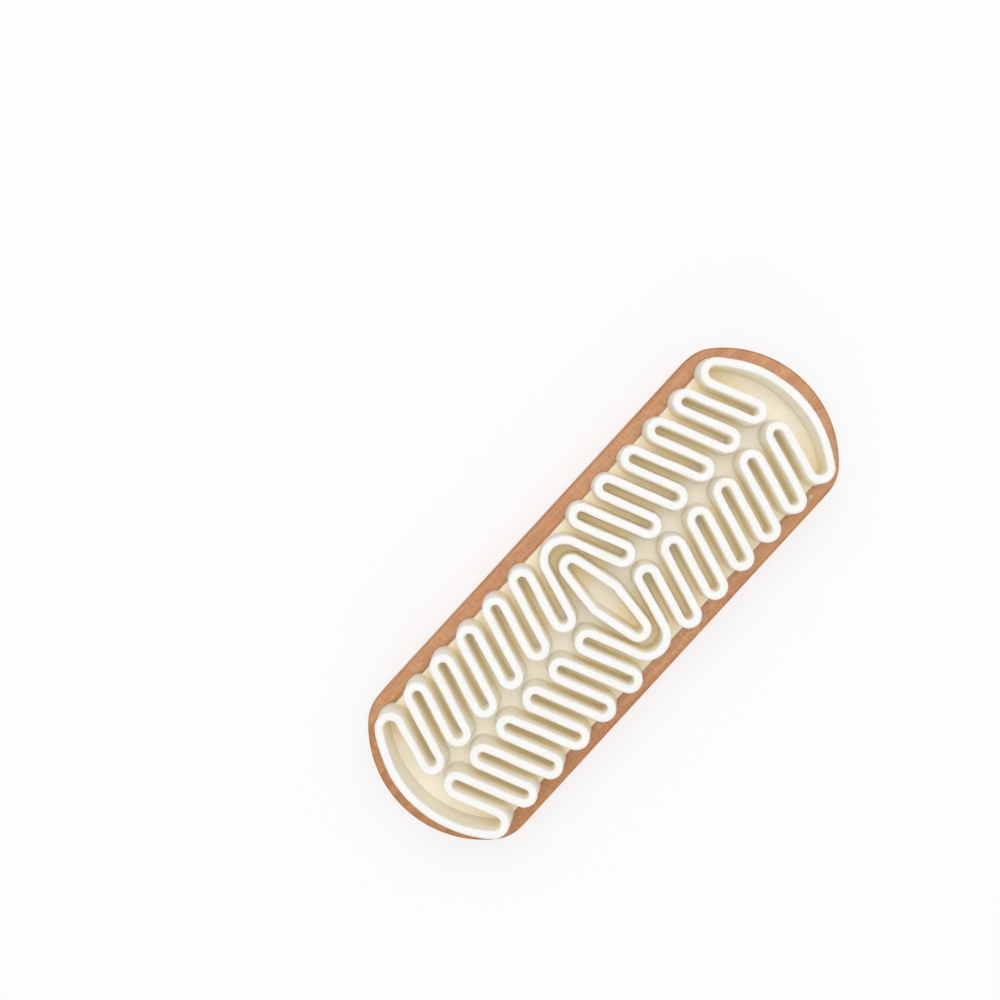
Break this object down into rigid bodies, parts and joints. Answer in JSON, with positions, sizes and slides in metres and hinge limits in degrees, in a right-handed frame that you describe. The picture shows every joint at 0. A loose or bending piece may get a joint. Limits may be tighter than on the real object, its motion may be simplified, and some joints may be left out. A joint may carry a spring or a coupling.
{
  "type": "suede brush",
  "caption": "Hand brush for suede: a rounded lacquered hardwood block with a moulded crepe-rubber pad whose winding ribs surround a diamond-shaped ring.",
  "frame": {"origin": "middle of the block's flat wooden back, which is the lowest face", "axes": "+X along the brush, +Y across it, +Z from the wooden back up to the crests of the rubber ribs"},
  "size_m": [0.125, 0.0414, 0.0332],
  "materials": {
    "beech_wood": "satin clear lacquer over fine-grained beech",
    "clear_glue": "thin translucent contact adhesive",
    "crepe_rubber": "matt off-white crepe rubber, slightly waxy"
  },
  "bodies": {
    "root": {"handle_block": "beech_wood", "glue_film": "clear_glue", "rubber_pad": "crepe_rubber"}
  },
  "joints": []
}
